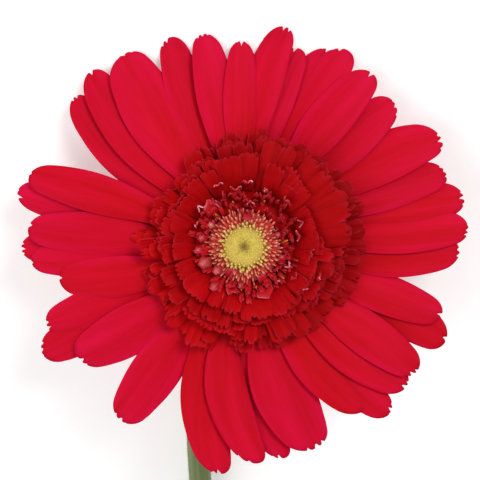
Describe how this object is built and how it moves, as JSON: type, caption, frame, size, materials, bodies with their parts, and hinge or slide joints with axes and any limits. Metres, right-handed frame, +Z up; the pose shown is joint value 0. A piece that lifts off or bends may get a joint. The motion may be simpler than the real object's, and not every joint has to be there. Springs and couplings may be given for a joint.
{
  "type": "cut gerbera",
  "caption": "Cut red gerbera with a semi-double head, lying on its front petals and the end of its stem.",
  "frame": {"origin": "on the supporting surface, under the middle of the flower's box", "axes": "+Z up from the surface, -Y the way the head faces, +Y towards the cut end of the stem"},
  "size_m": [0.111, 0.3628, 0.049],
  "materials": {
    "ray_petal": "thin satiny petal tissue with fine lengthwise ribs",
    "ruff_petal": "thin dark red petal tissue, paler at the tips",
    "bud": "waxy closed buds, pinkish with cream tips",
    "yellow_centre": "dense powdery yellow-green buds",
    "bract": "matt green bracts with fine down",
    "stem": "soft green skin with faint ribs and fine down"
  },
  "bodies": {
    "root": {"ray_florets": "ray_petal", "trans_florets": "ruff_petal", "disc_florets": "bud", "disc_centre": "yellow_centre", "involucre": "bract", "stem": "stem"}
  },
  "joints": []
}
